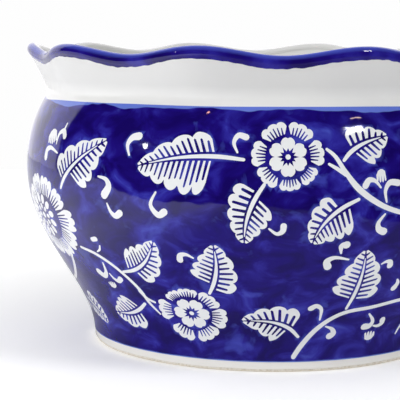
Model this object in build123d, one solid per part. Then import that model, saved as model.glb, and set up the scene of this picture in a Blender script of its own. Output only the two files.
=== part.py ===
from build123d import *
import math
import os

# Blue-and-white porcelain bowl with a rolled, ruffled rim. Millimetres, +Z up.
# The origin is the middle of the circle that the foot stands on.
#
# The pot is five clay pieces, luted together before firing with stepped or tongued seams:
# foot_ring, base_floor, belly_wall, collar_wall and rim_roll. Seven fired coats lie on
# them: foot_glaze, underside_glaze, inner_glaze, belly_cobalt, collar_glaze, rim_cobalt
# and lip_glaze.

# ---- driving dimensions -------------------------------------------------------------
FOOT_RADIUS = 89.0            # outside of the foot, over its glaze
FOOT_HEIGHT = 5.0             # where the foot ends and the cobalt begins
FOOT_WIDTH = 9.5              # how wide the ring is that the pot stands on
FOOT_EDGE = 1.2               # rounding of the ring's two bottom edges
BARE_EDGE = 1.4               # clay left bare below the foot's glaze
RECESS_DEPTH = 4.0            # hollow under the base, inside the foot ring
BASE_THICKNESS = 6.0

BELLY_RADIUS = 124.0
BELLY_HEIGHT = 88.0           # height of the widest circle
SHOULDER_RADIUS = 114.1       # where the belly and its cobalt end
SHOULDER_HEIGHT = 126.0
NECK_RADIUS = 113.6
NECK_HEIGHT = 128.8
WALL = 5.2                    # wall thickness over both coats
GLAZE = 0.4                   # thickness of every coat

RIM_RADIUS = 118.6            # middle of the rolled rim, halfway from crest to trough
RIM_HEIGHT = 147.5
ROLL_RADIUS = 3.0             # of the rolled rim, over its coats
WAVES = 10                    # crests round the rim, with a trough at the front (-Y)
WAVE_LIFT = 2.1               # crests stand this far above the mean, troughs below it
WAVE_LEAN = 2.4               # crests lean out by this much, troughs lean in

# Belly outline over the cobalt, as (radius, height), from the foot up.
BELLY_OUTLINE = [
    (FOOT_RADIUS + 0.3, FOOT_HEIGHT),
    (95.8, 24.6),
    (110.9, 49.2),
    (122.1, 73.8),
    (BELLY_RADIUS, BELLY_HEIGHT),
    (121.6, 108.6),
    (SHOULDER_RADIUS, SHOULDER_HEIGHT),
]
# Collar outlines as (radius, height, share of the rim's wave), from the shoulder up.
COLLAR_OUTSIDE = [
    (SHOULDER_RADIUS, SHOULDER_HEIGHT, 0.0),
    (NECK_RADIUS, NECK_HEIGHT, 0.12),
    (115.0, 133.8, 0.40),
    (118.3, 141.0, 0.80),
]
COLLAR_INSIDE = [
    (SHOULDER_RADIUS - WALL, SHOULDER_HEIGHT, 0.0),
    (NECK_RADIUS - WALL, NECK_HEIGHT + 0.3, 0.12),
    (109.9, 134.6, 0.40),
    (113.0, 141.8, 0.80),
]

# ---- seams --------------------------------------------------------------------------
LEDGE_RADIUS = FOOT_RADIUS - FOOT_WIDTH + 3.0    # the base lies on the ring inside this
REBATE_RADIUS = LEDGE_RADIUS + 2.0               # the base's upper half, let into the wall
BASE_TOP = RECESS_DEPTH + BASE_THICKNESS
REBATE_HEIGHT = BASE_TOP - BASE_THICKNESS / 2
TONGUE_WIDTH = 2.0
TONGUE_HEIGHT = 1.2
FOOT_TONGUE = REBATE_RADIUS + 0.8                # inside of the foot ring's tongue
SHOULDER_TONGUE = SHOULDER_RADIUS - WALL / 2     # middle of the collar's lower tongue
CLAY_ROLL = ROLL_RADIUS - GLAZE
ROLL_LEFT = -50.0             # degrees round the roll's middle where it starts outside
ROLL_TOP = 100.0              # and where the cobalt gives way to the white inside
ROLL_RIGHT = 190.0            # and where it ends inside
SECTIONS_PER_WAVE = 8


# ---- the round pieces ---------------------------------------------------------------
def turned(*edges):
    """A solid of revolution from a closed outline of edges, as (radius, height)."""
    outline = make_face([edge.edge() for edge in edges])
    return revolve(Plane.XZ * outline, Axis.Z)


def straight(*points):
    """The lines through points, one after another."""
    return [Line(start, end) for start, end in zip(points, points[1:])]


def rounded(start, corner, end):
    """A quarter circle from start to end that rounds off corner."""
    start, corner, end = Vector(start), Vector(corner), Vector(end)
    centre = start + end - corner
    bulge = corner - (start + end) / 2
    return ThreePointArc(start, centre + bulge * math.sqrt(2), end)


def belly_outside(depth):
    """The belly's outline at a depth below the cobalt's face, from the foot up."""
    points = [(radius - depth, height) for radius, height in BELLY_OUTLINE]
    return Spline(points, tangents=[(0.06, 1), (-0.62, 1)])


def belly_inside(depth):
    """The belly's inside at a depth below the glaze's face, from the base up."""
    corner = (REBATE_RADIUS - GLAZE + depth, BASE_TOP + GLAZE - depth)
    points = [
        (radius - WALL + depth, height) for radius, height in BELLY_OUTLINE[1:]
    ]
    return Spline([corner] + points, tangents=[(0.3, 1), (-0.62, 1)])


def foot_ring():
    """Ring that the pot stands on, with a ledge for the base and a tongue for the wall."""
    outer = FOOT_RADIUS - GLAZE
    inner = FOOT_RADIUS - FOOT_WIDTH
    tongue_top = FOOT_HEIGHT + TONGUE_HEIGHT
    return turned(
        Line((inner + FOOT_EDGE, 0), (outer - FOOT_EDGE, 0)),
        rounded((outer - FOOT_EDGE, 0), (outer, 0), (outer, FOOT_EDGE)),
        *straight(
            (outer, FOOT_EDGE),
            (outer, FOOT_HEIGHT),
            (FOOT_TONGUE + TONGUE_WIDTH, FOOT_HEIGHT),
            (FOOT_TONGUE + TONGUE_WIDTH, tongue_top),
            (FOOT_TONGUE, tongue_top),
            (FOOT_TONGUE, FOOT_HEIGHT),
            (LEDGE_RADIUS, FOOT_HEIGHT),
            (LEDGE_RADIUS, RECESS_DEPTH),
            (inner, RECESS_DEPTH),
            (inner, FOOT_EDGE),
        ),
        rounded((inner, FOOT_EDGE), (inner, 0), (inner + FOOT_EDGE, 0)),
    )


def base_floor():
    """Disc that lies on the foot ring's ledge and drops into the wall's rebate."""
    return turned(
        *straight(
            (0, RECESS_DEPTH),
            (LEDGE_RADIUS, RECESS_DEPTH),
            (LEDGE_RADIUS, REBATE_HEIGHT),
            (REBATE_RADIUS, REBATE_HEIGHT),
            (REBATE_RADIUS, BASE_TOP),
            (0, BASE_TOP),
            (0, RECESS_DEPTH),
        )
    )


def belly_wall():
    """The swelling wall, from the foot ring to the shoulder."""
    outside = belly_outside(GLAZE)
    inside = belly_inside(GLAZE)
    tongue_out = SHOULDER_TONGUE + TONGUE_WIDTH / 2
    tongue_in = SHOULDER_TONGUE - TONGUE_WIDTH / 2
    tongue_foot = SHOULDER_HEIGHT - TONGUE_HEIGHT
    foot_tongue_top = FOOT_HEIGHT + TONGUE_HEIGHT
    return turned(
        outside,
        *straight(
            outside @ 1,
            (tongue_out, SHOULDER_HEIGHT),
            (tongue_out, tongue_foot),
            (tongue_in, tongue_foot),
            (tongue_in, SHOULDER_HEIGHT),
            inside @ 1,
        ),
        inside,
        *straight(
            inside @ 0,
            (REBATE_RADIUS, REBATE_HEIGHT),
            (LEDGE_RADIUS, REBATE_HEIGHT),
            (LEDGE_RADIUS, FOOT_HEIGHT),
            (FOOT_TONGUE, FOOT_HEIGHT),
            (FOOT_TONGUE, foot_tongue_top),
            (FOOT_TONGUE + TONGUE_WIDTH, foot_tongue_top),
            (FOOT_TONGUE + TONGUE_WIDTH, FOOT_HEIGHT),
            outside @ 0,
        ),
    )


def foot_glaze():
    """Glaze on the outside of the foot, which stops short of the standing edge."""
    clay = FOOT_RADIUS - GLAZE
    return turned(
        *straight(
            (clay, BARE_EDGE),
            (FOOT_RADIUS, BARE_EDGE + GLAZE),
            (FOOT_RADIUS, FOOT_HEIGHT),
            (clay, FOOT_HEIGHT),
            (clay, BARE_EDGE),
        )
    )


def underside_glaze():
    """Glaze in the hollow under the base."""
    radius = FOOT_RADIUS - FOOT_WIDTH
    return turned(
        *straight(
            (0, RECESS_DEPTH - GLAZE),
            (radius, RECESS_DEPTH - GLAZE),
            (radius, RECESS_DEPTH),
            (0, RECESS_DEPTH),
            (0, RECESS_DEPTH - GLAZE),
        )
    )


def belly_cobalt():
    """Cobalt brushed on the belly, under clear glaze."""
    face = belly_outside(0)
    clay = belly_outside(GLAZE)
    return turned(face, Line(face @ 1, clay @ 1), clay, Line(clay @ 0, face @ 0))


def inner_glaze():
    """White glaze over the base and up the inside of the belly, to the shoulder."""
    face = belly_inside(0)
    clay = belly_inside(GLAZE)
    return turned(
        Line((0, BASE_TOP), clay @ 0),
        clay,
        Line(clay @ 1, face @ 1),
        face,
        *straight(face @ 0, (0, BASE_TOP + GLAZE), (0, BASE_TOP)),
    )


# ---- the ruffled pieces -------------------------------------------------------------
def wave(angle):
    """The rim's wave, 1 on a crest and -1 in a trough, with the front trough at 0."""
    return -math.cos(WAVES * angle)


def placed(angle, radius, height, share):
    """A point of the upright section at angle, carried along by its share of the wave."""
    swing = share * wave(angle)
    reach = radius + WAVE_LEAN * swing
    return Vector(
        reach * math.sin(angle),
        -reach * math.cos(angle),
        height + WAVE_LIFT * swing,
    )


def on_roll(angle, radius, degrees):
    """A point on the rolled rim's section, at an angle round the roll's middle."""
    turn = math.radians(degrees)
    return placed(
        angle,
        RIM_RADIUS + radius * math.cos(turn),
        RIM_HEIGHT + radius * math.sin(turn),
        1.0,
    )


def roll_arc(angle, radius, start, end):
    """Part of the rolled rim's section, as an arc."""
    return ThreePointArc(
        on_roll(angle, radius, start),
        on_roll(angle, radius, (start + end) / 2),
        on_roll(angle, radius, end),
    )


def collar_curve(angle, outline, shift, roll_radius, roll_degrees):
    """One side of the collar's section, from the shoulder to where the roll takes over."""
    points = [
        placed(angle, radius + shift, height, share) for radius, height, share in outline
    ]
    return Spline(points + [on_roll(angle, roll_radius, roll_degrees)])


def lip_seam(angle):
    """The seam between collar and roll, from outside to inside, with its tongue."""
    start = on_roll(angle, CLAY_ROLL, ROLL_LEFT)
    end = on_roll(angle, CLAY_ROLL, ROLL_RIGHT)
    across = (end - start).normalized()
    middle = (start + end) / 2
    up = (on_roll(angle, 0, 0) - middle).normalized()
    half = across * (TONGUE_WIDTH / 2)
    rise = up * TONGUE_HEIGHT
    return straight(
        start,
        middle - half,
        middle - half + rise,
        middle + half + rise,
        middle + half,
        end,
    )


def shoulder_seam(angle):
    """The seam between collar and belly wall, from inside to outside, with its tongue."""
    half = TONGUE_WIDTH / 2
    corners = [
        (SHOULDER_RADIUS - WALL + GLAZE, 0),
        (SHOULDER_TONGUE - half, 0),
        (SHOULDER_TONGUE - half, -TONGUE_HEIGHT),
        (SHOULDER_TONGUE + half, -TONGUE_HEIGHT),
        (SHOULDER_TONGUE + half, 0),
        (SHOULDER_RADIUS - GLAZE, 0),
    ]
    points = [placed(angle, radius, SHOULDER_HEIGHT + rise, 0) for radius, rise in corners]
    return straight(*points)


def ruffled(section):
    """A closed ring lofted through section(angle), as two halves that are fused."""
    steps = WAVES * SECTIONS_PER_WAVE // 2
    halves = []
    for side in range(2):
        wires = []
        for step in range(steps + 1):
            angle = math.pi * (side + step / steps)
            wires.append(Wire([edge.edge() for edge in section(angle)]))
        halves.append(Solid.make_loft(wires))
    return halves[0].fuse(halves[1])


def collar_wall():
    """The flared neck, round at the shoulder and waved at the lip."""

    def section(angle):
        outside = collar_curve(angle, COLLAR_OUTSIDE, -GLAZE, CLAY_ROLL, ROLL_LEFT)
        inside = collar_curve(angle, COLLAR_INSIDE, GLAZE, CLAY_ROLL, ROLL_RIGHT)
        return [outside, *lip_seam(angle), inside, *shoulder_seam(angle)]

    return ruffled(section)


def rim_roll():
    """The rolled clay of the rim, which sits on the collar's tongue."""

    def section(angle):
        outside = roll_arc(angle, CLAY_ROLL, ROLL_LEFT, ROLL_TOP)
        inside = roll_arc(angle, CLAY_ROLL, ROLL_TOP, ROLL_RIGHT)
        return [outside, inside, *lip_seam(angle)]

    return ruffled(section)


def collar_glaze():
    """White glaze on the outside of the collar."""

    def section(angle):
        face = collar_curve(angle, COLLAR_OUTSIDE, 0, ROLL_RADIUS, ROLL_LEFT)
        clay = collar_curve(angle, COLLAR_OUTSIDE, -GLAZE, CLAY_ROLL, ROLL_LEFT)
        return [face, Line(face @ 1, clay @ 1), clay, Line(clay @ 0, face @ 0)]

    return ruffled(section)


def rim_cobalt():
    """Cobalt on the outside and top of the rolled rim."""

    def section(angle):
        face = roll_arc(angle, ROLL_RADIUS, ROLL_LEFT, ROLL_TOP)
        clay = roll_arc(angle, CLAY_ROLL, ROLL_LEFT, ROLL_TOP)
        return [face, Line(face @ 1, clay @ 1), clay, Line(clay @ 0, face @ 0)]

    return ruffled(section)


def lip_glaze():
    """White glaze up the inside of the collar and over the lip, down to the shoulder."""

    def section(angle):
        lip_face = roll_arc(angle, ROLL_RADIUS, ROLL_TOP, ROLL_RIGHT)
        lip_clay = roll_arc(angle, CLAY_ROLL, ROLL_TOP, ROLL_RIGHT)
        face = collar_curve(angle, COLLAR_INSIDE, 0, ROLL_RADIUS, ROLL_RIGHT)
        clay = collar_curve(angle, COLLAR_INSIDE, GLAZE, CLAY_ROLL, ROLL_RIGHT)
        return [
            lip_face,
            face,
            Line(face @ 0, clay @ 0),
            clay,
            lip_clay,
            Line(lip_clay @ 0, lip_face @ 0),
        ]

    return ruffled(section)


PARTS = [
    foot_ring,
    base_floor,
    belly_wall,
    collar_wall,
    rim_roll,
    foot_glaze,
    underside_glaze,
    inner_glaze,
    belly_cobalt,
    collar_glaze,
    rim_cobalt,
    lip_glaze,
]

os.makedirs("parts", exist_ok=True)
for make in PARTS:
    solid = make()
    print(f"{make.__name__}: {solid.volume / 1000:.1f} cm3")
    export_step(solid, f"parts/{make.__name__}.step")
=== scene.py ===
import math

import bpy
from mathutils import Matrix, Vector, noise
from mathutils.geometry import delaunay_2d_cdt


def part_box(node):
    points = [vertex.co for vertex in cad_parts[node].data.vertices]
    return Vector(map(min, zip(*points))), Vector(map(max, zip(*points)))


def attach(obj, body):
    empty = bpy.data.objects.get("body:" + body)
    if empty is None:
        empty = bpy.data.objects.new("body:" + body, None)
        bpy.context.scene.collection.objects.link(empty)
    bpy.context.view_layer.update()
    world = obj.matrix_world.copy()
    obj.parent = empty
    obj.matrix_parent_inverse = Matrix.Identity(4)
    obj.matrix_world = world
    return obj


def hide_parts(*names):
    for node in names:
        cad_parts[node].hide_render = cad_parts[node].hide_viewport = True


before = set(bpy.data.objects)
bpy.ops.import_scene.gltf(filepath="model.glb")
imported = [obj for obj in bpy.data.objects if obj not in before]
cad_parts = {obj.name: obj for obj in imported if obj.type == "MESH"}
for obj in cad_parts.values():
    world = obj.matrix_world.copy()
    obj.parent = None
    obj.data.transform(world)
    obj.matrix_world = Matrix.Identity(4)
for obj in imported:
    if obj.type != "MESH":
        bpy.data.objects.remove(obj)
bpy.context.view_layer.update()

MM = 0.001

# ---- the bowl's outlines ----------------------------------------------------------------
# Outlines are in millimetres, as the CAD pieces are. Where a piece starts and ends comes
# from the frame.
FOOT_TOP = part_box("belly_cobalt")[0].z / MM
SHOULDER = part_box("belly_cobalt")[1].z / MM
BELLY_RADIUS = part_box("belly_cobalt")[1].x / MM
FOOT_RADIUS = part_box("foot_glaze")[1].x / MM
RECESS_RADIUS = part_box("underside_glaze")[1].x / MM
RECESS_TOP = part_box("underside_glaze")[1].z / MM
GLAZE = 0.4                   # thickness of every coat
FLOOR_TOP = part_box("inner_glaze")[0].z / MM + GLAZE
WALL = 5.2                    # wall thickness over both coats
FOOT_EDGE = 1.2               # rounding of the foot ring's two bottom edges
BARE_EDGE = 1.4               # clay left bare below the foot's glaze
LEDGE = 3.0                   # how far the base lies on the foot ring
SHOULDER_RADIUS = 114.1       # where the belly ends and the collar begins
NECK_RADIUS = 113.6

# The belly as (radius, height, slope), with slope the radius gained per height.
BELLY = [
    (FOOT_RADIUS + 0.3, FOOT_TOP, 0.06),
    (95.8, 24.6, 0.535),
    (110.9, 49.2, 0.604),
    (122.1, 73.8, 0.259),
    (BELLY_RADIUS, 88.0, 0.026),
    (121.6, 108.6, -0.268),
    (SHOULDER_RADIUS, SHOULDER, -0.62),
]
# The collar as (radius, height, share of the rim's wave), from the shoulder up.
COLLAR_OUTSIDE = [
    (SHOULDER_RADIUS, SHOULDER, 0.0),
    (NECK_RADIUS, 128.8, 0.12),
    (115.0, 133.8, 0.40),
    (118.3, 141.0, 0.80),
]
COLLAR_INSIDE = [
    (SHOULDER_RADIUS - WALL, SHOULDER, 0.0),
    (NECK_RADIUS - WALL, 129.1, 0.12),
    (109.9, 134.6, 0.40),
    (113.0, 141.8, 0.80),
]
RIM_RADIUS = 118.6            # middle of the rolled rim, halfway from crest to trough
RIM_HEIGHT = 147.5
ROLL_RADIUS = 3.0             # of the rolled rim, over its coats
WAVES = 10                    # crests round the rim, with a trough at the front
WAVE_LIFT = 2.1               # how far crests stand above the mean, and troughs below
WAVE_LEAN = 2.4               # how far crests lean out, and troughs in
ROLL_UNDER = -50.0            # degrees round the roll where the collar meets it
ROLL_TOP = 100.0              # where the cobalt band ends on top
ROLL_INSIDE = 190.0           # where the roll runs into the inside of the collar
BLUE_BELOW = 0.7              # how far the cobalt band reaches down the collar
RAGGED = 0.7                  # how far its brushed edge wanders
AROUND = 720                  # sections of a ring mesh round the bowl
COLLAR_STEPS = 28             # parts of a collar side, from the shoulder to the roll
ROLL_STEPS = 24               # parts of the roll's outside
LIP_STEPS = 12                # parts of the roll's inside
SHARP_EDGE = 50               # degrees between faces from which an edge is shaded sharp
CLIMB_STEP = 0.05             # between the heights kept along the wall


def wall_at_height(height):
    """Radius of the belly at a height, and its slope."""
    for (r0, z0, m0), (r1, z1, m1) in zip(BELLY, BELLY[1:]):
        if height <= z1 or z1 == SHOULDER:
            break
    span = z1 - z0
    t = min(max((height - z0) / span, 0.0), 1.0)
    radius = ((2 * t ** 3 - 3 * t ** 2 + 1) * r0 + (t ** 3 - 2 * t ** 2 + t) * span * m0
              + (3 * t ** 2 - 2 * t ** 3) * r1 + (t ** 3 - t ** 2) * span * m1)
    slope = ((6 * t * t - 6 * t) * (r0 - r1) / span + (3 * t * t - 4 * t + 1) * m0
             + (3 * t * t - 2 * t) * m1)
    return radius, slope


def climb():
    """Heights at every CLIMB_STEP millimetres along the wall, from the foot to the shoulder."""
    heights = [FOOT_TOP]
    while heights[-1] < SHOULDER:
        _, slope = wall_at_height(heights[-1])
        heights.append(heights[-1] + CLIMB_STEP / math.hypot(1, slope))
    return heights


HEIGHTS = climb()
WALL_LENGTH = (len(HEIGHTS) - 1) * CLIMB_STEP


def height_along(up):
    """Height of a place that lies up millimetres along the wall."""
    count = min(max(up / CLIMB_STEP, 0), len(HEIGHTS) - 1.001)
    index = int(count)
    return HEIGHTS[index] + (HEIGHTS[index + 1] - HEIGHTS[index]) * (count - index)


def wall_radius(up):
    """Radius of the belly at a place along the wall."""
    return wall_at_height(height_along(up))[0]


# ---- painted pattern ------------------------------------------------------------------
# A place on the belly is (degrees, up): degrees round the bowl from the front towards +X,
# and millimetres along the wall from the top of the foot. Each motif gives a list of
# (tone, outline), painted in order, and measures in millimetres on the wall.
WHITE = 1
BLUE = 0
VEIN_STEP = 2.7               # between the veins of a leaf
VEIN_FAN = 25                 # degrees by which a leaf's tip leans more than its foot
LEAF_EDGE_STEPS = 60
LEAF_RIB_STEPS = 12
CURL_TAIL = 0.9               # width of a curl at its thin end


def mm_per_degree(up):
    """Length of one degree round the wall at a height along it."""
    return wall_radius(up) * math.pi / 180


def smooth(points, count):
    """count + 1 points along a smooth curve through points (Catmull-Rom)."""
    ends = [points[0]] + list(points) + [points[-1]]
    result = []
    for step in range(count + 1):
        along = step / count * (len(points) - 1)
        first = min(int(along), len(points) - 2)
        t = along - first
        a, b, c, d = ends[first:first + 4]
        result.append(tuple(
            0.5 * (2 * q + (r - p) * t + (2 * p - 5 * q + 4 * r - s) * t * t
                   + (3 * q - p - 3 * r + s) * t ** 3)
            for p, q, r, s in zip(a, b, c, d)
        ))
    return result


def directions(path):
    """Unit direction of a path at each of its points."""
    result = []
    for index in range(len(path)):
        x0, y0 = path[max(index - 1, 0)]
        x1, y1 = path[min(index + 1, len(path) - 1)]
        length = math.hypot(x1 - x0, y1 - y0)
        result.append(((x1 - x0) / length, (y1 - y0) / length))
    return result


def brush(points, widths, steps=6):
    """A stroke through places on the wall, as wide as widths say, with round ends."""
    scale = mm_per_degree(sum(up for _, up in points) / len(points))
    count = steps * (len(points) - 1)
    path = smooth([(degrees * scale, up) for degrees, up in points], count)
    width = [w for w, _ in smooth([(w, 0) for w in widths], count)]
    heading = directions(path)
    left = []
    right = []
    for (x, y), (dx, dy), w in zip(path, heading, width):
        left.append((x - dy * w / 2, y + dx * w / 2))
        right.append((x + dy * w / 2, y - dx * w / 2))
    outline = left + round_end(path[-1], heading[-1], width[-1])
    back = (-heading[0][0], -heading[0][1])
    outline += right[::-1] + round_end(path[0], back, width[0])
    return [(WHITE, [(x / scale, y) for x, y in outline])]


def round_end(centre, heading, width):
    """The inner points of a half circle that closes a stroke, turning clockwise."""
    x, y = centre
    dx, dy = heading
    result = []
    for step in range(1, 5):
        turn = math.pi / 2 - math.pi * step / 5
        along, across = math.cos(turn) * width / 2, math.sin(turn) * width / 2
        result.append((x + dx * along - dy * across, y + dy * along + dx * across))
    return result


def leaf(stalk, middle, tip, left, right):
    """A leaf of two lobed blades, slit by veins, with a midrib that runs on as its stalk.

    left and right are (start, width, lobes, lean) of the blade on that side, seen from
    the stalk: start is where along the rib it begins, and lean is in degrees.
    """
    scale = mm_per_degree(middle[1])
    (x0, y0), (x1, y1), (x2, y2) = [(a * scale, up) for a, up in (stalk, middle, tip)]
    cx, cy = 2 * x1 - (x0 + x2) / 2, 2 * y1 - (y0 + y2) / 2

    def rib(u):
        v = 1 - u
        spot = (v * v * x0 + 2 * u * v * cx + u * u * x2,
                v * v * y0 + 2 * u * v * cy + u * u * y2)
        dx, dy = v * (cx - x0) + u * (x2 - cx), v * (cy - y0) + u * (y2 - cy)
        length = math.hypot(dx, dy)
        return spot, (dx / length, dy / length)

    shapes = []
    for side, (start, width, lobes, lean) in ((1, left), (-1, right)):

        def point(v, distance):
            spot, (dx, dy) = rib(start + (1 - start) * v)
            turn = side * math.radians(90 - lean - VEIN_FAN * v)
            fx = dx * math.cos(turn) - dy * math.sin(turn)
            fy = dx * math.sin(turn) + dy * math.cos(turn)
            return (spot[0] + fx * distance) / scale, spot[1] + fy * distance

        def gap(v):
            return 2.1 - 1.8 * v * v

        def reach(v):
            share = min(0.90 + 0.9 * v, 1.06 - 0.10 * v - 0.84 * v * v)
            bump = abs(math.sin(math.pi * lobes * v ** 0.9)) ** 0.5
            return gap(v) + (width * share - gap(v)) * (0.70 + 0.30 * bump)

        outer_places = [step / LEAF_EDGE_STEPS for step in range(LEAF_EDGE_STEPS + 1)]
        inner_places = [step / LEAF_RIB_STEPS for step in range(LEAF_RIB_STEPS + 1)]
        edge = [point(v, reach(v)) for v in outer_places]
        inner = [point(v, gap(v)) for v in inner_places]
        shapes.append((WHITE, edge + inner[::-1]))
        blade = math.hypot(x2 - x0, y2 - y0) * (1 - start)
        veins = round(blade / VEIN_STEP)
        for vein in range(1, veins + 1):
            v = (vein - 0.35) / (veins + 0.4)
            near = gap(v) - 0.6
            far = gap(v) + (0.68 + 0.10 * math.sin(5 * vein)) * (reach(v) - gap(v))
            dv = (0.82 - 0.26 * v) / blade
            shapes.append((BLUE, [point(v - dv, near), point(v - dv * 0.6, far),
                                  point(v, far + 0.5), point(v + dv * 0.6, far),
                                  point(v + dv, near)]))
    line = [rib(step / 4 * 0.90)[0] for step in range(5)]
    shapes += brush([(x / scale, y) for x, y in line], [1.5, 1.9, 1.7, 1.1, 0.4])
    return shapes


def ring(centre, scale, points):
    """Places on the wall from (turn in degrees, distance) round a centre."""
    degrees, up = centre
    result = []
    for turn, distance in points:
        angle = math.radians(turn)
        result.append((degrees + distance * math.cos(angle) / scale,
                       up + distance * math.sin(angle)))
    return result


def petal(centre, scale, turn, half, inner, outer, ruffles, slits):
    """An outer petal with a ruffled edge, slit from its foot towards the edge."""
    edge = []
    for step in range(25):
        t = step / 24 * 2 - 1
        bump = abs(math.cos(math.pi / 2 * ruffles * (t + 1) + math.pi / 2)) ** 0.6
        shoulder = (1 - abs(t) ** 5) * 0.28 + 0.72
        distance = inner + (outer - inner) * shoulder * (0.84 + 0.16 * bump)
        edge.append((turn + half * t, distance))
    foot = [(turn + half * 0.80, inner), (turn, inner - 0.2), (turn - half * 0.80, inner)]
    shapes = [(WHITE, ring(centre, scale, edge + foot))]
    for slit in range(slits):
        t = (slit + 1) / (slits + 1) * 2 - 1
        middle = turn + half * 0.9 * t
        far = inner + (outer - inner) * (0.66 - 0.22 * abs(t))
        spread = math.degrees(0.50 / inner)
        shapes.append((BLUE, ring(centre, scale, [
            (middle - spread, inner - 0.5), (middle - spread * 0.35, far),
            (middle + spread * 0.35, far), (middle + spread, inner - 0.5)])))
    return shapes


def flower(centre, size, turns, tilt=0):
    """A round flower: a dotted eye, six inner petals, and outer petals at turns."""
    scale = mm_per_degree(centre[1])
    core = 0.55 * size
    heart = []
    for step in range(120):
        turn = step * 3
        lobe = abs(math.sin(math.radians(turn * 3))) ** 0.55
        nick = 1 - abs(math.sin(math.radians(turn * 3))) ** 30 * 0.07
        heart.append((turn + tilt, core * (0.66 + 0.34 * lobe) * nick))
    shapes = []
    for turn, half, outer in turns:
        shapes += petal(centre, scale, turn, half, core + 1.3, size * outer, 3, 5)
    shapes.append((WHITE, ring(centre, scale, heart)))
    star = []
    for step in range(24):
        long = 0.54 if step % 4 == 0 else 0.44
        star.append((step * 15 + tilt, core * (long if step % 2 == 0 else 0.29)))
    shapes.append((BLUE, ring(centre, scale, star)))
    eye = [(step * 30, 0.12 * core + 0.1) for step in range(12)]
    shapes.append((WHITE, ring(centre, scale, eye)))
    return shapes


def oval(centre, scale, turn, distance, long, wide):
    """A white oval that points away from a centre, distance from it."""
    outline = []
    for turned in range(0, 360, 30):
        angle = math.radians(turned)
        along = distance + long / 2 * math.cos(angle)
        aside = wide / 2 * math.sin(angle)
        outline.append((turn + math.degrees(math.atan2(aside, along)), math.hypot(along, aside)))
    return [(WHITE, ring(centre, scale, outline))]


def peony(centre, size, width):
    """A full flower turned to one side: an eye, two rings of ovals, and outer petals."""
    scale = mm_per_degree(centre[1]) / width
    middle = (centre[0] + 0.18 * size / scale, centre[1] - 0.03 * size)
    shapes = []
    for turn, half, outer in ((2, 17, 1.12), (38, 17, 1.0), (74, 18, 1.0), (110, 17, 1.04),
                              (145, 17, 1.0), (181, 18, 0.98), (218, 18, 1.0), (255, 18, 1.0),
                              (291, 17, 1.04), (327, 18, 1.06)):
        shapes += petal(middle, scale, turn, half, size * 0.56, size * outer, 3, 4)
    for turn in range(10, 370, 30):
        shapes += oval(centre, scale, turn, size * 0.42, size * 0.24, size * 0.16)
    for turn in range(0, 360, 45):
        shapes += oval(centre, scale, turn, size * 0.22, size * 0.14, size * 0.11)
    return shapes + oval(centre, scale, 0, 0.0, size * 0.15, size * 0.15)


def comma(head, *points):
    """A curl from its fat end, head wide, to its thin tail."""
    last = len(points) - 1
    widths = [head * 0.8]
    widths += [head + (CURL_TAIL - head) * (k / last) ** 0.8 for k in range(1, last + 1)]
    return brush(points, widths)


def tuft(root, turn, width, length, fingers=4):
    """A small crown: a round back at root, and fingers that point towards turn."""
    scale = mm_per_degree(root[1])
    angle = math.radians(turn)
    pitch = width / fingers
    half = width / 2
    outline = [(0.42 * length, -half), (0.12 * length, -half * 0.62), (0, -half * 0.15),
               (0.02 * length, half * 0.25), (0.16 * length, half * 0.7)]
    for finger in range(fingers):
        middle = half - (finger + 0.5) * pitch
        tip = length * (1 - 0.18 * abs(middle) / half)
        outline += [(tip - 0.6, middle + pitch * 0.34), (tip, middle + pitch * 0.12),
                    (tip, middle - pitch * 0.12), (tip - 0.6, middle - pitch * 0.34)]
        if finger < fingers - 1:
            outline.append((0.45 * length, middle - pitch * 0.5))
    places = []
    for along, across in outline:
        x = along * math.cos(angle) - across * math.sin(angle)
        y = along * math.sin(angle) + across * math.cos(angle)
        places.append((root[0] + x / scale, root[1] + y))
    return [(WHITE, places)]


def stems():
    """The white line that the shoulder's cobalt ends on, and the stems."""
    drops = [(-80, 0.4), (-75, 1.5), (-66, 0.9), (-55, 0.7), (-45, 0.6), (-35, 0.35),
             (-20, 0.5), (-10, 0.4), (0, 0.2), (20, 0.2), (31, 0.5), (40, 0.4)]
    line = [(degrees, WALL_LENGTH - drop) for degrees, drop in smooth(drops, 44)]
    shapes = [(WHITE, line + [(40, WALL_LENGTH + 1), (-80, WALL_LENGTH + 1)])]
    shapes += brush([(5.6, 2.6), (8, 9), (11.5, 17), (15.5, 23.3), (20, 27), (27, 28.6),
                     (36, 31.2), (44, 31.5), (51, 36), (56.5, 44), (59.3, 52)],
                    [2.5, 2.7, 2.6, 2.4, 2.3, 2.2, 2.2, 2.2, 2.1, 2.0, 1.8])
    shapes += brush([(-53, 57.6), (-48, 55.2), (-43.5, 50), (-40, 43), (-37.6, 36),
                     (-36.2, 28.6), (-33.8, 22.4)],
                    [1.6, 1.9, 2.0, 2.0, 2.1, 1.8, 1.0])
    shapes += brush([(-37.8, 35.5), (-36.5, 31.5), (-34.2, 29.4)], [2.2, 1.8, 1.3])
    shapes += brush([(9.2, 111), (11, 107.6), (13, 101), (15.6, 94), (19, 88.4), (23, 84),
                     (28, 81), (34, 79.5), (40, 76)],
                    [1.3, 1.8, 2.1, 2.8, 2.6, 2.3, 2.2, 2.0, 1.8])
    return shapes + brush([(9.6, 104.4), (11.2, 102.4), (13.2, 99.6)], [1.2, 1.7, 1.9])


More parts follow.
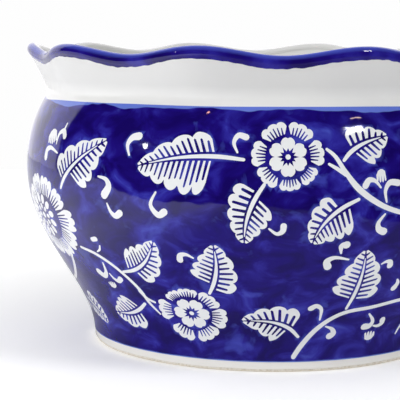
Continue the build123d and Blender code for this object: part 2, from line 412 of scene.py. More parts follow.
# The leaves: stalk, middle and tip, then the blade on the left and on the right.
LEAVES = [
    ((-54.8, 88), (-50, 99.5), (-40.4, 112.2), (0.15, 11.5, 4, 15), (0.38, 14, 4, 10)),
    ((-8, 106.2), (-19, 107), (-30.8, 102), (0.30, 18, 5, 12), (0.27, 11.5, 4, 15)),
    ((-3.7, 95.4), (-6.8, 82.5), (-7.8, 68.6), (0.22, 11, 4, 15), (0.15, 11, 5, 0)),
    ((16, 88.6), (10, 80.5), (6.8, 68.6), (0.15, 13.5, 4, 10), (0.30, 9, 4, 5)),
    ((12.8, 106), (16.5, 112.5), (22.9, 116.6), (0.32, 9, 4, 8), (0.30, 11, 3, 15)),
    ((-40.5, 46.6), (-33.5, 52.5), (-28.8, 65.8), (0.13, 12.5, 4, 20), (0.26, 10, 4, 10)),
    ((-17.2, 38.3), (-14.7, 51.5), (-14.6, 66), (0.22, 12, 4, 5), (0.12, 11, 4, 5)),
    ((-38, 27.6), (-44.3, 20.6), (-52.2, 18.9), (0.30, 9.5, 3, 5), (0.20, 11.5, 4, 15)),
    ((19, 29), (20.2, 44.5), (19.4, 63), (0.20, 13, 4, 10), (0.20, 12, 4, 10)),
    ((6.5, 13.2), (0.4, 21), (-9, 22.2), (0.27, 10.5, 3, 5), (0.22, 11.5, 4, 15)),
    ((-73.2, 20.8), (-67.2, 16.6), (-61.6, 9.6), (0.22, 9.2, 4, 5), (0.16, 6.8, 4, 8)),
    ((32.4, 84.5), (34.4, 97.5), (37.8, 110.5), (0.20, 10.5, 4, 12), (0.26, 11.0, 4, 8)),
]
# The curls: how wide the head is, and places from there to the tail.
CURLS = [
    (4.6, (-31.6, 115.2), (-33.2, 114.4), (-34.2, 111), (-33.5, 106.4)),
    (5.2, (-39.9, 87.4), (-38.6, 91.4), (-39.4, 94.6), (-41.6, 95.6)),
    (4.2, (-36.0, 79.4), (-37.3, 77.8), (-38.5, 79.6), (-39.3, 83.4)),
    (4.2, (-24.9, 81.6), (-26.4, 80), (-28.0, 84.6), (-26.7, 90.4)),
    (3.6, (-7.6, 116.2), (-9.2, 117), (-10.1, 113.6), (-9.3, 109.4)),
    (3.6, (0.4, 76.8), (0.2, 74.2), (-1.0, 73.0), (-2.6, 75.4)),
    (4.4, (-62.4, 101.4), (-62, 105), (-60, 106.2), (-56.8, 104.2)),
    (4.0, (-54.9, 112.6), (-55.8, 115), (-57.5, 113.4), (-57.9, 108.6)),
    (3.8, (17.4, 94.6), (18.2, 97), (19.6, 96.6), (20.9, 93.6)),
    (3.8, (25.0, 95.4), (23, 95.6), (22.0, 92), (22.4, 87)),
    (4.6, (22.6, 73.0), (21.3, 74.4), (21.0, 77.6), (22.3, 81.4)),
    (4.0, (-22.9, 57.4), (-22.6, 60), (-21.2, 60.7), (-19.6, 59)),
    (4.6, (11.0, 55.2), (10.6, 58.4), (12.4, 60.3), (15.6, 59)),
    (4.8, (14.4, 67.0), (13.3, 66.2), (13.5, 62.6)),
    (4.0, (27.0, 54.0), (26.6, 56.2), (25.6, 56.6), (24.5, 55.4)),
    (5.0, (-50.6, 43.8), (-49, 41.8), (-47.4, 44.6), (-46.8, 50.2)),
    (3.8, (-42.9, 41.6), (-44.2, 39.8), (-45.5, 41), (-46.3, 43.8)),
    (3.8, (9.0, 30.0), (10.4, 31.4), (11.9, 29), (12.1, 22.8)),
    (4.4, (16.0, 12.9), (17.0, 14.4), (16.3, 17), (14.3, 18.6)),
    (4.6, (26.8, 16.8), (28.6, 17), (29.1, 20), (27.0, 24.4)),
    (4.0, (32.7, 19.8), (32.9, 17.6), (31.6, 16.4), (30.0, 16.8)),
    (4.4, (31.4, 39.6), (31.8, 42.5), (31.2, 45)),
    (3.8, (27.2, 108.0), (26.6, 105.4), (27.6, 103.4), (29.2, 103.0)),
    (4.2, (33.4, 67.4), (35.0, 69.2), (36.8, 67.2), (37.2, 62.2)),
    (4.2, (36.4, 49.6), (38.4, 48.6), (40.2, 51.2), (40.6, 56.4)),
    (4.0, (45.2, 15.0), (43.6, 16.6), (41.8, 14.6), (40.6, 10.0)),
]


def ticks_and_tufts():
    """Three short strokes and four small crowns between the leaves."""
    shapes = brush([(-55.7, 115.6), (-55.2, 118.8)], [1.3, 0.8], steps=3)
    shapes += brush([(-46.9, 63.6), (-45.6, 64.2)], [2.4, 2.6], steps=2)
    shapes += brush([(-45.0, 60.6), (-45.7, 58.2), (-46.9, 56.8)], [0.9, 1.2, 0.7])
    shapes += tuft((-47.4, 34.6), 97, 5.4, 4.2)
    shapes += tuft((29.6, 8.7), 92, 6.3, 5.2)
    shapes += tuft((21.0, 101.8), -88, 5.2, 6.2)
    return shapes + tuft((-60.7, 115.4), -78, 9.2, 7.6, fingers=5)


def flowers():
    """Two round flowers and one turned to the side. Petals are (turn, half, reach)."""
    upper = [(63, 25, 1.0), (8, 24, 1.0), (-42, 20, 0.92), (-86, 21, 0.92),
             (-135, 24, 0.95), (174, 24, 1.0), (118, 26, 1.0)]
    lower = [(42, 24, 0.98), (-8, 24, 1.05), (-60, 26, 1.0), (-119, 26, 1.0),
             (176, 25, 1.03), (125, 18, 0.90), (88, 20, 0.92)]
    shapes = flower((1.1, 107.6), 16.3, upper)
    shapes += flower((-23.5, 25), 16.6, lower, tilt=30)
    return shapes + peony((-67.5, 71.5), 21.5, 1.2)


def motifs():
    """All shapes of one 120 degree repeat of the pattern, by kind, in painting order."""
    leaves = [shape for parts in LEAVES for shape in leaf(*parts)]
    curls = [shape for parts in CURLS for shape in comma(*parts)] + ticks_and_tufts()
    return {"stems": stems(), "leaves": leaves, "curls": curls, "flowers": flowers()}


# ---- meshes -----------------------------------------------------------------------------
def place(degrees, radius, height):
    """A point of the object, in metres, from degrees round it, radius and height."""
    turn = math.radians(degrees)
    return Vector((radius * math.sin(turn) * MM, -radius * math.cos(turn) * MM, height * MM))


def waved(degrees, radius, height, share):
    """A point carried along by its share of the rim's wave, as (radius, height)."""
    swing = -share * math.cos(math.radians(WAVES * degrees))
    return radius + WAVE_LEAN * swing, height + WAVE_LIFT * swing


def on_roll(degrees, radius, around):
    """A point on the rolled rim's section, at an angle round the roll's middle."""
    turn = math.radians(around)
    return waved(degrees, RIM_RADIUS + radius * math.cos(turn),
                 RIM_HEIGHT + radius * math.sin(turn), 1.0)


def roll_arc(degrees, radius, start, end, steps):
    """Part of the rolled rim's section, as (radius, height) points."""
    return [on_roll(degrees, radius, start + (end - start) * step / steps)
            for step in range(steps + 1)]


def collar_side(degrees, outline, depth, around):
    """One side of the collar, from the shoulder to the roll, as (radius, height) points."""
    points = [waved(degrees, radius + depth, height, share)
              for radius, height, share in outline]
    points.append(on_roll(degrees, ROLL_RADIUS - abs(depth), around))
    return smooth(points, COLLAR_STEPS)


def finish_piece(name, mesh, material, slot, *nodes):
    """Turns a mesh into a piece that rides on the bowl and stands for CAD nodes."""
    piece = bpy.data.objects.new(name, mesh)
    bpy.context.scene.collection.objects.link(piece)
    mesh.materials.append(material)
    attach(piece, "root")
    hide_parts(*nodes)


def smooth_mesh(name, verts, faces):
    """A mesh that is shaded smooth, but for its sharp edges."""
    mesh = bpy.data.meshes.new(name)
    mesh.from_pydata(verts, [], faces)
    mesh.polygons.foreach_set("use_smooth", [True] * len(mesh.polygons))
    mesh.set_sharp_from_angle(angle=math.radians(SHARP_EDGE))
    return mesh


def lathed(name, section):
    """A closed ring mesh from section(degrees), a closed loop of (radius, height)."""
    rows = [[place(360 * k / AROUND, *point) for point in section(360 * k / AROUND)]
            for k in range(AROUND)]
    loop = len(rows[0])
    verts = [point for row in rows for point in row]
    faces = []
    for k in range(AROUND):
        here, there = k * loop, (k + 1) % AROUND * loop
        for i in range(loop):
            j = (i + 1) % loop
            faces.append((here + i, there + i, there + j, here + j))
    return smooth_mesh(name, verts, faces)


def dish(name, outline):
    """A closed solid of revolution from an outline that starts and ends on the axis."""
    inner = outline[1:-1]
    verts = [place(0, *outline[0]), place(0, *outline[-1])]
    for k in range(AROUND):
        verts += [place(360 * k / AROUND, *point) for point in inner]
    faces = []
    count = len(inner)
    for k in range(AROUND):
        here, there = 2 + k * count, 2 + (k + 1) % AROUND * count
        faces.append((0, there, here))
        faces.append((1, here + count - 1, there + count - 1))
        for i in range(count - 1):
            faces.append((here + i, there + i, there + i + 1, here + i + 1))
    return smooth_mesh(name, verts, faces)


def drift(degrees, size, seed):
    """Smooth noise round the bowl, from about -1 to 1, finer with a greater size."""
    turn = math.radians(degrees)
    return noise.noise(Vector((math.cos(turn) * size, math.sin(turn) * size, seed)))


def blue_edge(degrees):
    """How far below the roll the cobalt band's brushed lower edge runs, in millimetres."""
    ripple = drift(degrees, 7, 4.0)
    ripple += 0.7 * drift(degrees, 34, 9.0)
    return BLUE_BELOW + RAGGED * ripple


def cut(points, along):
    """A path of points cut in two at a length along it."""
    for index in range(1, len(points)):
        (x0, y0), (x1, y1) = points[index - 1], points[index]
        step = math.hypot(x1 - x0, y1 - y0)
        if along < step:
            break
        along -= step
    share = min(along / step, 1.0)
    here = (x0 + (x1 - x0) * share, y0 + (y1 - y0) * share)
    return points[:index] + [here], [here] + points[index:]


def length_of(points):
    """Length of a path of points."""
    return sum(math.dist(a, b) for a, b in zip(points, points[1:]))


def resampled(points, count):
    """count + 1 points evenly spaced along a path."""
    total = length_of(points)
    rest = points
    result = [points[0]]
    for _ in range(count - 1):
        _, rest = cut(rest, total / count)
        result.append(rest[0])
    return result + [points[-1]]


def outside(degrees, depth):
    """Outside of the collar and roll, as its white and its cobalt part."""
    white_steps, blue_steps = 30, 26
    face = collar_side(degrees, COLLAR_OUTSIDE, -depth, ROLL_UNDER)
    to_roll = length_of(face)
    top = top_edge(degrees)
    face += roll_arc(degrees, ROLL_RADIUS - depth, ROLL_UNDER, top, ROLL_STEPS)[1:]
    white, blue = cut(face, to_roll - blue_edge(degrees))
    return resampled(white, white_steps), resampled(blue, blue_steps)


def top_edge(degrees):
    """Angle round the roll where the cobalt gives way to the white lining."""
    wander = 7
    return ROLL_TOP + wander * drift(degrees, 7, 1.5)


def collar_skin(degrees):
    """White glaze on the collar, up to the cobalt band."""
    return outside(degrees, 0)[0] + outside(degrees, GLAZE)[0][::-1]


def rim_band(degrees):
    """Cobalt on the outside and top of the rolled rim."""
    return outside(degrees, 0)[1] + outside(degrees, GLAZE)[1][::-1]


def lip_skin(degrees):
    """White glaze over the lip and down the inside of the collar."""
    start = top_edge(degrees)
    face = roll_arc(degrees, ROLL_RADIUS, start, ROLL_INSIDE, LIP_STEPS)
    face += collar_side(degrees, COLLAR_INSIDE, 0, ROLL_INSIDE)[::-1][1:]
    clay = roll_arc(degrees, ROLL_RADIUS - GLAZE, start, ROLL_INSIDE, LIP_STEPS)
    clay += collar_side(degrees, COLLAR_INSIDE, GLAZE, ROLL_INSIDE)[::-1][1:]
    return face + clay[::-1]


def belly_lining():
    """Outline of the white glaze inside, from the middle of the floor and back."""
    corner = 84.1
    steps = 52
    thicker, thicker_height = 1.4, 5.0      # how the wall thickens towards the floor
    rings = (20, 40, 60, 76)
    face = [(corner, FLOOR_TOP)]
    clay = [(corner + GLAZE, FLOOR_TOP - GLAZE)]
    for step in range(1, steps + 1):
        height = FLOOR_TOP + (SHOULDER - FLOOR_TOP) * step / steps
        radius = wall_at_height(height)[0]
        inside = radius - WALL - thicker * math.exp(-(height - FLOOR_TOP) / thicker_height)
        face.append((inside, height))
        clay.append((inside + GLAZE, height))
    disc = [(radius, FLOOR_TOP) for radius in rings]
    under = [(radius, FLOOR_TOP - GLAZE) for radius in reversed(rings)]
    return [(0, FLOOR_TOP)] + disc + face + clay[::-1] + under + [(0, FLOOR_TOP - GLAZE)]


def arc(centre, radius, start, end, steps=6):
    """Points of an arc as (radius, height), with angles in degrees."""
    return [(centre[0] + radius * math.cos(math.radians(start + (end - start) * k / steps)),
             centre[1] + radius * math.sin(math.radians(start + (end - start) * k / steps)))
            for k in range(steps + 1)]


def foot_ring(_):
    """The bare clay ring that the bowl stands on, which is the same all the way round."""
    outer = FOOT_RADIUS - GLAZE
    loop = arc((RECESS_RADIUS + FOOT_EDGE, FOOT_EDGE), FOOT_EDGE, 180, 270)
    loop += arc((outer - FOOT_EDGE, FOOT_EDGE), FOOT_EDGE, -90, 0)
    loop += [(outer, FOOT_TOP), (RECESS_RADIUS + LEDGE, FOOT_TOP),
             (RECESS_RADIUS + LEDGE, RECESS_TOP), (RECESS_RADIUS, RECESS_TOP)]
    return loop


def foot_skin(degrees):
    """Glaze on the outside of the foot, with the uneven edge it was wiped back to."""
    low = BARE_EDGE + 0.35 * drift(degrees, 6, 2.0)
    outer = FOOT_RADIUS
    face = [(outer - GLAZE, low)] + arc((outer - GLAZE, low + GLAZE), GLAZE, -60, 0, 4)
    face += [(outer, FOOT_TOP - 1.4), (outer, FOOT_TOP)]
    return face + [(outer - GLAZE, FOOT_TOP)]


def underside():
    """Outline of the glaze in the recess under the floor."""
    return [(0, RECESS_TOP), (RECESS_RADIUS, RECESS_TOP),
            (RECESS_RADIUS, RECESS_TOP - GLAZE), (0, RECESS_TOP - GLAZE)]


# ---- the painted belly: cobalt with the pattern left white -------------------------------
REPEATS = 3                   # how many times the pattern comes round
REPEAT = 360 / REPEATS
FIRST = -80.0                 # where a repeat starts, in degrees
CHART = 2.0                   # chart units per degree, close to millimetres
GRID_UP = 60                  # rows of added points, which let the chart bend
GRID_ROUND = 96               # and columns
FINENESS = 1e-6               # chart units under which points are taken as one
PER_DEGREE = 500              # steps to a degree, to tell places on the wall apart
PER_MM = 1000                 # and to a millimetre
GROUPS = ("ground", "stems", "leaves", "curls", "flowers")


def charted():
    """Triangles of one repeat, as {group: [(three places on the wall), ...]}."""
    verts = []
    faces = []
    groups = []
    pattern = motifs()
    for shift in (-REPEAT, 0, REPEAT):
        for group, shapes in pattern.items():
            for tone, outline in shapes:
                degrees = [d + shift for d, _ in outline]
                if max(degrees) < FIRST or min(degrees) > FIRST + REPEAT:
                    continue
                points = [(d * CHART, up) for d, (_, up) in zip(degrees, outline)]
                area = sum(a[0] * b[1] - b[0] * a[1]
                           for a, b in zip(points, points[1:] + points[:1]))
                if area < 0:
                    points.reverse()
                faces.append(list(range(len(verts), len(verts) + len(points))))
                verts += [Vector(point) for point in points]
                groups.append(group if tone == WHITE else "ground")
    left, right = FIRST * CHART, (FIRST + REPEAT) * CHART
    edges = []
    for side in (left, right):
        start = len(verts)
        verts += [Vector((side, WALL_LENGTH * row / GRID_UP)) for row in range(GRID_UP + 1)]
        edges += [(start + row, start + row + 1) for row in range(GRID_UP)]
    for up in (0, WALL_LENGTH):
        start = len(verts)
        verts += [Vector((left + (right - left) * col / GRID_ROUND, up))
                  for col in range(GRID_ROUND + 1)]
        edges += [(start + col, start + col + 1) for col in range(GRID_ROUND)]
    for row in range(1, GRID_UP):
        for col in range(1, GRID_ROUND):
            shift = 0.5 if row % 2 else 0.0
            verts.append(Vector((left + (right - left) * (col - shift) / GRID_ROUND,
                                 WALL_LENGTH * row / GRID_UP)))
    out_verts, _, out_faces, _, _, sources = delaunay_2d_cdt(verts, edges, faces, 0, FINENESS)
    result = {group: [] for group in GROUPS}
    for face, source in zip(out_faces, sources):
        middle = sum((out_verts[i] for i in face), Vector((0, 0))) / 3
        if not (left < middle.x < right and 0 < middle.y < WALL_LENGTH):
            continue
        group = groups[max(source)] if source else "ground"
        result[group].append([(out_verts[i].x / CHART, out_verts[i].y) for i in face])
    return result


def on_wall(degrees, up, depth):
    """Point of the belly at a place on the wall, depth below its face, and its normal."""
    height = height_along(up)
    radius, slope = wall_at_height(height)
    turn = math.radians(degrees)
    length = math.hypot(1, slope)
    normal = Vector((math.sin(turn) / length, -math.cos(turn) / length, -slope / length))
    return place(degrees, radius, height) - normal * depth * MM, normal


def inlay(name, triangles, white_places):
    """A closed shell of the belly's coat from triangles on the wall.

    Its attribute near_white is 1 at the places that it shares with the white pattern.
    """
    index = {}
    places = []
    near_white = []
    faces = []
    for turn in range(REPEATS):
        for triangle in triangles:
            face = []
            for spot in triangle:
                degrees, up = spot[0] + turn * REPEAT, spot[1]
                key = (round(degrees % 360 * PER_DEGREE) % (360 * PER_DEGREE),
                       round(up * PER_MM))
                if key not in index:
                    index[key] = len(places)
                    places.append((degrees, up))
                    near_white.append(float(spot in white_places))
                face.append(index[key])
            if len(set(face)) == 3:
                faces.append(face)
    count = len(places)
    tops = [on_wall(degrees, up, 0) for degrees, up in places]
    unders = [on_wall(degrees, up, GLAZE)[0] for degrees, up in places]
    used = {}
    for face in faces:
        for a, b in zip(face, face[1:] + face[:1]):
            used[(a, b)] = used.get((a, b), 0) + 1
    sides = [(a, b) for a, b in used if (b, a) not in used]
    polygons = [tuple(face) for face in faces]
    polygons += [tuple(count + i for i in reversed(face)) for face in faces]
    polygons += [(b, a, count + a, count + b) for a, b in sides]
    mesh = bpy.data.meshes.new(name)
    mesh.from_pydata([point for point, _ in tops] + unders, [], polygons)
    normals = []
    for polygon in mesh.polygons:
        for vertex in polygon.vertices:
            if polygon.index < len(faces):
                normals.append(tops[vertex][1])
            elif polygon.index < 2 * len(faces):
                normals.append(-tops[vertex - count][1])
            else:
                normals.append(polygon.normal.copy())
    mesh.polygons.foreach_set("use_smooth", [True] * len(mesh.polygons))
    mesh.normals_split_custom_set(normals)
    halo = mesh.attributes.new("near_white", "FLOAT", "POINT")
    halo.data.foreach_set("value", near_white * 2)
    return mesh


# ---- materials --------------------------------------------------------------------------
GLAZE_IOR = 1.5
MIX_FIRST, MIX_SECOND, MIX_RESULT = 6, 7, 2     # the colour sockets of a mix node


def link(source, socket):
    """Joins two sockets of one node tree."""
    socket.id_data.links.new(source, socket)


def shader(name, color, roughness):
    """A new material, its nodes and its principled shader."""
    material = bpy.data.materials.new(name)
    material.use_nodes = True
    nodes = material.node_tree.nodes
    surface = nodes["Principled BSDF"]
    surface.inputs["Base Color"].default_value = (*color, 1)
    surface.inputs["Roughness"].default_value = roughness
    surface.inputs["IOR"].default_value = GLAZE_IOR
    material.diffuse_color = (*color, 1)
    return material, nodes, surface


def grain(nodes, scale, detail, stretch=(1, 1, 1)):
    """A noise texture in the object's own coordinates, in waves per metre."""
    coordinates = nodes.new("ShaderNodeTexCoord")
    mapping = nodes.new("ShaderNodeMapping")
    mapping.inputs["Scale"].default_value = stretch
    texture = nodes.new("ShaderNodeTexNoise")
    texture.inputs["Scale"].default_value = scale
    texture.inputs["Detail"].default_value = detail
    link(coordinates.outputs["Object"], mapping.inputs["Vector"])
    link(mapping.outputs["Vector"], texture.inputs["Vector"])
    return texture


def ramp(nodes, source, *stops):
    """A colour ramp driven by source, from (position, colour) stops."""
    node = nodes.new("ShaderNodeValToRGB")
    elements = node.color_ramp.elements
    while len(elements) < len(stops):
        elements.new(0.5)
    for element, (position, color) in zip(elements, stops):
        element.position = position
        element.color = (*color, 1)
    link(source, node.inputs["Fac"])
    return node


def blend_colors(nodes, factor, first, second):
    """A mix of two colours, each a socket or a colour."""
    node = nodes.new("ShaderNodeMix")
    node.data_type = "RGBA"
    link(factor, node.inputs["Factor"])
    for number, value in ((MIX_FIRST, first), (MIX_SECOND, second)):
        socket = node.inputs[number]
        if isinstance(value, tuple):
            socket.default_value = (*value, 1)
        else:
            link(value, socket)
    return node.outputs[MIX_RESULT]


def scaled(nodes, source, *span, smooth_step=False):
    """A socket's value mapped from span's first two numbers to the last two, or 0 and 1."""
    node = nodes.new("ShaderNodeMapRange")
    if smooth_step:
        node.interpolation_type = "SMOOTHSTEP"
    for name, value in zip(("From Min", "From Max", "To Min", "To Max"), span):
        node.inputs[name].default_value = value
    link(source, node.inputs["Value"])
    return node.outputs["Result"]


def product(nodes, first, second):
    """The product of a socket and another socket or a number."""
    node = nodes.new("ShaderNodeMath")
    node.operation = "MULTIPLY"
    link(first, node.inputs[0])
    if isinstance(second, float):
        node.inputs[1].default_value = second
    else:
        link(second, node.inputs[1])
    return node.outputs["Value"]


def axis(nodes, kind, output, letter):
    """One part, X, Y or Z, of a vector that a new node of some kind puts out."""
    source = nodes.new(kind)
    split = nodes.new("ShaderNodeSeparateXYZ")
    link(source.outputs[output], split.inputs["Vector"])
    return split.outputs[letter]


def band(nodes, low, high, wander, size):
    """0 at the height low and 1 at the height high, in metres, with an uneven edge.

    low may be the upper of the two. The edge wanders by up to wander, in metres.
    """
    height = axis(nodes, "ShaderNodeTexCoord", "Object", "Z")
    texture = grain(nodes, size, 2)
    shift = nodes.new("ShaderNodeMath")
    shift.operation = "MULTIPLY_ADD"
    shift.inputs[1].default_value = wander
    link(texture.outputs["Fac"], shift.inputs[0])
    link(height, shift.inputs[2])
    return scaled(nodes, shift.outputs["Value"], low + wander / 2, high + wander / 2)


def relief(nodes, surface, scale, detail, distance):
    """Bump from noise, distance metres high."""
    texture = grain(nodes, scale, detail)
    bump = nodes.new("ShaderNodeBump")
    bump.inputs["Distance"].default_value = distance
    bump.inputs["Strength"].default_value = 1.0
    link(texture.outputs["Fac"], bump.inputs["Height"])
    link(bump.outputs["Normal"], surface.inputs["Normal"])


def vary_roughness(nodes, surface, scale, detail, low, high):
    """Roughness that drifts with noise between low and high."""
    texture = grain(nodes, scale, detail)
    level = scaled(nodes, texture.outputs["Fac"], 0.3, 0.7, low, high)
    link(level, surface.inputs["Roughness"])


# Cobalt, from where it lies thickest to its palest edge.
DEEP = (0.007, 0.002, 0.100)
INK = (0.011, 0.004, 0.165)
WASH = (0.025, 0.020, 0.290)
THIN = (0.065, 0.090, 0.500)
EDGE = (0.125, 0.190, 0.640)
BLACK = (0, 0, 0)
WHITE_LIGHT = (1, 1, 1)
RIPPLE = 0.00035              # height of the ripple that a glaze sets with, in metres


def cobalt_wash(nodes):
    """Brushed cobalt: dark and light strokes with clouded patches, as a colour socket."""
    strokes = grain(nodes, 62, 4, (1, 1, 1.5))
    strokes.inputs["Distortion"].default_value = 0.8
    tones = ramp(nodes, strokes.outputs["Fac"],
                 (0.36, DEEP), (0.50, INK), (0.64, WASH), (0.82, THIN))
    clouds = grain(nodes, 95, 3)
    clouds.inputs["Distortion"].default_value = 0.5
    patches = ramp(nodes, clouds.outputs["Fac"], (0.60, BLACK), (0.72, WHITE_LIGHT))
    soft = product(nodes, patches.outputs["Color"], 0.40)
    return blend_colors(nodes, soft, tones.outputs["Color"], THIN)


def belly_cobalt():
    """Cobalt of the belly, which thins to light blue along its top and bottom edges."""
    material, nodes, surface = shader("cobalt_belly", INK, 0.05)
    wash = cobalt_wash(nodes)
    near = nodes.new("ShaderNodeAttribute")
    near.attribute_name = "near_white"
    pools = ramp(nodes, grain(nodes, 85, 2).outputs["Fac"],
                 (0.46, BLACK), (0.64, (0.75, 0.75, 0.75)))
    halo = product(nodes, near.outputs["Fac"], pools.outputs["Color"])
    wash = blend_colors(nodes, halo, wash, THIN)
    top = band(nodes, (SHOULDER - 1.9) * MM, (SHOULDER - 1.6) * MM, 0.0075, 42)
    color = blend_colors(nodes, top, wash, EDGE)
    foot = band(nodes, (FOOT_TOP + 0.25) * MM, (FOOT_TOP + 0.55) * MM, 0.0007, 90)
    color = blend_colors(nodes, foot, EDGE, color)
    link(color, surface.inputs["Base Color"])
    relief(nodes, surface, 55, 2, RIPPLE)
    vary_roughness(nodes, surface, 20, 3, 0.035, 0.075)
    return material


def rim_cobalt():
    """Cobalt of the rim, streaked along the roll, with a painted highlight that lightens its
    upward-facing top.
    """
    material, nodes, surface = shader("cobalt_rim", INK, 0.06)
    streaks = grain(nodes, 60, 4)
    tones = ramp(nodes, streaks.outputs["Fac"], (0.35, DEEP), (0.5, INK), (0.68, WASH))
    # painted highlight: the cobalt turns paler where the roll faces up
    upward = axis(nodes, "ShaderNodeNewGeometry", "Normal", "Z")
    lit_top_highlight = scaled(nodes, upward, 0.25, 0.8, 0.0, 0.9)
    color = blend_colors(nodes, lit_top_highlight, tones.outputs["Color"], THIN)
    link(color, surface.inputs["Base Color"])
    relief(nodes, surface, 120, 2, 0.0002)
    vary_roughness(nodes, surface, 25, 3, 0.04, 0.09)
    return material


def set_glaze(nodes, surface, low, high):
    """The faint ripple that a white glaze sets with, and roughness from low to high."""
    relief(nodes, surface, 55, 2, RIPPLE)
    vary_roughness(nodes, surface, 30, 3, low, high)


def white_glaze(name, color, roughness=0.07):
    """White glaze of one colour."""
    material, nodes, surface = shader(name, color, roughness)
    set_glaze(nodes, surface, roughness * 0.7, roughness * 1.4)
    return material


def collar_white():
    """White glaze of the collar, with painted light that makes it whiter low in the neck."""
    material, nodes, surface = shader("collar_white", (0.66, 0.66, 0.66), 0.07)
    white_above, white_below = 0.1345, 0.1295
    # painted light: the lower neck is coloured whiter, as overhead light would make it
    neck_painted_light = band(nodes, white_above, white_below, 0.002, 30)
    color = blend_colors(nodes, neck_painted_light, (0.67, 0.67, 0.665), (0.78, 0.78, 0.77))
    link(color, surface.inputs["Base Color"])
    set_glaze(nodes, surface, 0.05, 0.10)
    return material


def bare_clay():
    """Unglazed porcelain: warm, matte and slightly gritty."""
    material, nodes, surface = shader("bare_clay", (0.72, 0.66, 0.56), 0.7)
    specks = grain(nodes, 900, 3)
    tones = ramp(nodes, specks.outputs["Fac"],
                 (0.30, (0.60, 0.53, 0.43)), (0.5, (0.74, 0.69, 0.60)), (0.8, (0.80, 0.76, 0.69)))
    link(tones.outputs["Color"], surface.inputs["Base Color"])
    relief(nodes, surface, 1600, 3, 0.0001)
    vary_roughness(nodes, surface, 200, 2, 0.6, 0.85)
    return material


def backdrop_white():
    """Plain pale paper that glows with painted light: weakly near the bowl, brightening to plain
    white away from it.
    """
    material, nodes, surface = shader("pale_paper", (0.97, 0.97, 0.97), 0.9)
    coordinates = nodes.new("ShaderNodeTexCoord")
    away = nodes.new("ShaderNodeVectorMath")
    away.operation = "LENGTH"
    link(coordinates.outputs["Object"], away.inputs[0])
    near, far = 0.12, 0.45
    # painted light: the paper's own glow, stronger away from the bowl
    glow = scaled(nodes, away.outputs["Value"], near, far, 0.25, 0.56,
                  smooth_step=True)
    surface.inputs["Emission Color"].default_value = (1, 1, 1, 1)
    link(glow, surface.inputs["Emission Strength"])
    return material


# ---- the pieces -------------------------------------------------------------------------
WHITE_GLAZE = white_glaze("white_glaze", (0.74, 0.74, 0.73))
COLLAR_WHITE = collar_white()
RESERVE = white_glaze("reserved_white", (0.78, 0.79, 0.80))
FOOT_WHITE = white_glaze("foot_white", (0.86, 0.845, 0.80), 0.18)
CLAY = bare_clay()
BELLY_BLUE = belly_cobalt()
RIM_BLUE = rim_cobalt()

for node in ("base_floor", "belly_wall", "collar_wall", "rim_roll"):
    clay_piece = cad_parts[node]
    clay_piece.data.materials.clear()
    clay_piece.data.materials.append(CLAY)

chart = charted()
white_spots = {spot for group in GROUPS[1:] for triangle in chart[group] for spot in triangle}
for group, triangles in chart.items():
    if group == "ground":
        name, material, slot = "belly_cobalt_painted", BELLY_BLUE, "cobalt_glaze"
    else:
        name, material, slot = "reserved_" + group, RESERVE, "white_glaze"
    finish_piece(name, inlay(name, triangles, white_spots), material, slot, "belly_cobalt")

for name, form, outline, material, slot, node in (
        ("collar_skin", lathed, collar_skin, COLLAR_WHITE, "white_glaze", "collar_glaze"),
        ("rim_band", lathed, rim_band, RIM_BLUE, "cobalt_glaze", "rim_cobalt"),
        ("lip_skin", lathed, lip_skin, WHITE_GLAZE, "white_glaze", "lip_glaze"),
        ("bowl_lining", dish, belly_lining(), WHITE_GLAZE, "white_glaze", "inner_glaze"),
        ("foot_clay", lathed, foot_ring, CLAY, "bisque", "foot_ring"),
        ("foot_skin", lathed, foot_skin, FOOT_WHITE, "foot_glaze", "foot_glaze"),
        ("underside_skin", dish, underside(), WHITE_GLAZE, "white_glaze",
         "underside_glaze")):
    finish_piece(name, form(name, outline), material, slot, node)


# ---- stage, light and camera ------------------------------------------------------------
def floor_sheet(name, corners, height, paper):
    """A flat sheet of the stage, from its corners in metres."""
    mesh = bpy.data.meshes.new(name)
    mesh.from_pydata([(x, y, height) for x, y in corners], [], [range(len(corners))])
    sheet = bpy.data.objects.new(name, mesh)
    bpy.context.scene.collection.objects.link(sheet)
    mesh.materials.append(paper)
    return sheet


def soft_light(name, spot, target, size, power, color=WHITE_LIGHT, seen=False):
    """An area light at spot that faces target; seen says if gloss mirrors it."""
    light = bpy.data.lights.new(name, "AREA")
    light.shape = "RECTANGLE"
    light.size, light.size_y = size
    light.energy = power
    light.color = color
    lamp = bpy.data.objects.new(name, light)
    lamp.location = spot
    lamp.rotation_euler = (Vector(target) - Vector(spot)).to_track_quat("-Z", "Y").to_euler()
    lamp.visible_glossy = seen
    bpy.context.scene.collection.objects.link(lamp)
    return lamp


def graded_paper():
    """Paper as the glaze mirrors it, a painted reflection: glowing bright to the left of the
    bowl, dim elsewhere.
    """
    material, nodes, surface = shader("graded_paper", (0.5, 0.5, 0.5), 0.9)
    dim_from, bright_from = -0.08, -0.18
    across = axis(nodes, "ShaderNodeTexCoord", "Object", "X")
    tones = scaled(nodes, across, dim_from, bright_from)
    color = blend_colors(nodes, tones, (0.31, 0.30, 0.33), (0.85, 0.85, 0.88))
    link(color, surface.inputs["Base Color"])
    # painted reflection: the bright part glows
    surface.inputs["Emission Color"].default_value = (1, 1, 1, 1)
    link(product(nodes, tones, 0.45), surface.inputs["Emission Strength"])
    return material


def aim(spot, azimuth, rise, reach):
    """The point reach metres from spot, at azimuth from the front and rise, in degrees."""
    turn, lift = math.radians(azimuth), math.radians(rise)
    return Vector(spot) + reach * Vector((math.sin(turn) * math.cos(lift),
                                          -math.cos(turn) * math.cos(lift), math.sin(lift)))


def glint(name, spot, azimuth, rise, size, power, color=WHITE_LIGHT):
    """A small lamp seen only as a highlight at spot."""
    lamp = soft_light(name, aim(spot, azimuth, rise, GLINT_REACH), spot, size, power, color,
                      seen=True)
    lamp.visible_diffuse = False
    lamp.visible_camera = False


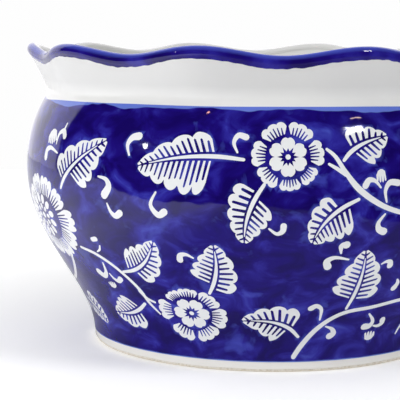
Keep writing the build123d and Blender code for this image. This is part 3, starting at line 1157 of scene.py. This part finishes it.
FLOOR_HALF = 0.9              # half the side of the floor sheet
FLOOR_DROP = 0.0002           # how far the sheet lies under the foot
TABLE_DROP = 0.0001
KEY_REACH = 1.7               # how far the key lights stand from the bowl
GLINT_REACH = 1.5
BOWL_MIDDLE = (0, 0, 0.1)
LEFT_KEY = (-63, 20)          # azimuth and rise, in degrees
RIGHT_KEY = (50, 44.5)

# The table's edge, which ends the pale reflection low on the belly.
TABLE = [(-1.40, -0.20), (-0.77, -0.23), (-0.50, -0.235), (-0.32, -0.27), (-0.19, -0.345),
         (-0.06, -0.385), (0.055, -0.33), (0.13, -0.255), (0.17, -0.17), (0.22, -0.02),
         (0.60, 0.50), (1.20, 1.40), (-1.40, 1.40)]
FLOOR = [(-FLOOR_HALF, -FLOOR_HALF), (FLOOR_HALF, -FLOOR_HALF),
         (FLOOR_HALF, FLOOR_HALF), (-FLOOR_HALF, FLOOR_HALF)]
wide_floor = floor_sheet("wide_floor", FLOOR, -FLOOR_DROP, backdrop_white())
wide_floor.visible_glossy = False
table_top = floor_sheet("table_top", TABLE, -TABLE_DROP, graded_paper())
table_top.visible_camera = False
table_top.visible_diffuse = False
table_top.visible_shadow = False

soft_light("overhead", (-0.1, -0.1, 1.6), (0, 0, 0), (1.7, 1.7), 5.5)
for name, direction, power in (("left_key", LEFT_KEY, 12), ("right_key", RIGHT_KEY, 8)):
    soft_light(name, aim(BOWL_MIDDLE, *direction, KEY_REACH), BOWL_MIDDLE, (0.5, 0.5), power)
glint("glint_left", (-0.061, -0.106, 0.108), *LEFT_KEY, (0.045, 0.045), 0.9)
glint("glint_right", (0.032, -0.115, 0.116), 44, 35.5, (0.20, 0.09), 5)
glint("glint_arc", (0.033, -0.112, 0.121), *RIGHT_KEY, (0.16, 0.012), 0.2, (1, 0.7, 0.55))
glint("glint_warm", (-0.033, -0.111, 0.123), -41, 51, (0.04, 0.03), 0.10, (1, 0.45, 0.35))


def studio_world():
    """Pale all round; gloss mirrors a dark room in front and a pale backdrop behind."""
    world = bpy.data.worlds.new("studio")
    world.use_nodes = True
    nodes = world.node_tree.nodes
    background = nodes["Background"]
    path = nodes.new("ShaderNodeLightPath")
    depth = axis(nodes, "ShaderNodeTexCoord", "Generated", "Y")
    behind = scaled(nodes, depth, 0.43, 0.47)
    room = blend_colors(nodes, behind, (0.004, 0.004, 0.005), (1.25, 1.23, 1.26))
    mirrored = blend_colors(nodes, path.outputs["Is Glossy Ray"], (0.35, 0.35, 0.35),
                            room)
    color = blend_colors(nodes, path.outputs["Is Camera Ray"], mirrored,
                         (0.99, 0.99, 0.99))
    link(color, background.inputs["Color"])
    bpy.context.scene.world = world


def make_camera():
    """The camera, in front and a little left, looking slightly down at the bowl."""
    distance, height = 0.737, 0.1566
    azimuth = math.radians(-3.56)
    heading, pitch, roll = math.radians(0.91), math.radians(-6.64), math.radians(0.39)
    data = bpy.data.cameras.new("camera")
    data.sensor_width = 36
    data.lens = 126.8
    data.dof.use_dof = False
    camera = bpy.data.objects.new("camera", data)
    turn = (Matrix.Rotation(-heading, 4, "Z") @ Matrix.Rotation(math.pi / 2 + pitch, 4, "X")
            @ Matrix.Rotation(roll, 4, "Z"))
    spot = Matrix.Translation((distance * math.sin(azimuth), -distance * math.cos(azimuth),
                               height))
    camera.matrix_world = spot @ turn
    bpy.context.scene.collection.objects.link(camera)
    bpy.context.scene.camera = camera


studio_world()
make_camera()
bpy.context.scene.view_settings.view_transform = "Standard"
